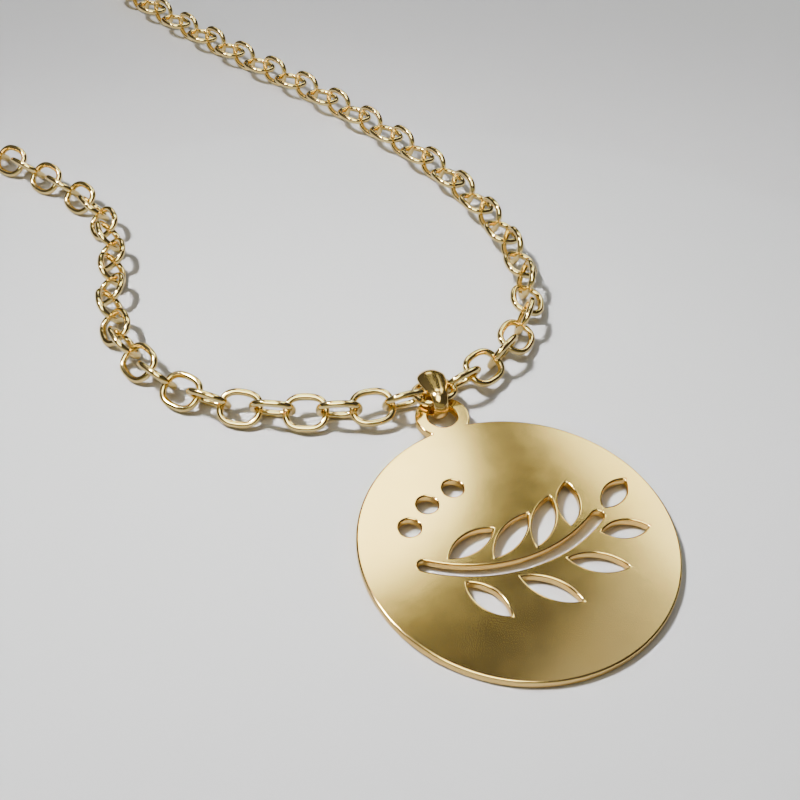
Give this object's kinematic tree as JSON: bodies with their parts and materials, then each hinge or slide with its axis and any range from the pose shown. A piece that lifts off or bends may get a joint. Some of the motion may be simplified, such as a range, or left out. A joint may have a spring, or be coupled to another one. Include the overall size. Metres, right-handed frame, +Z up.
{
  "type": "pendant necklace",
  "caption": "Round pierced plate with a flat eyelet, hung by a folded domed bail on a closed cable chain of oval links with a ring clasp.",
  "frame": {"origin": "centre of the lying necklace's outline, on the surface that it rests on", "axes": "+Z up from the surface, +Y to the back of the picture, towards the back of the neck loop, +X to the picture's right"},
  "size_m": [0.1638, 0.1674, 0.0035],
  "materials": {
    "gold": "polished gold-coloured metal"
  },
  "bodies": {
    "root": {"pendant_disc": "gold", "bail": "gold", "chain_right": "gold", "chain_left": "gold", "clasp": "gold"}
  },
  "joints": []
}
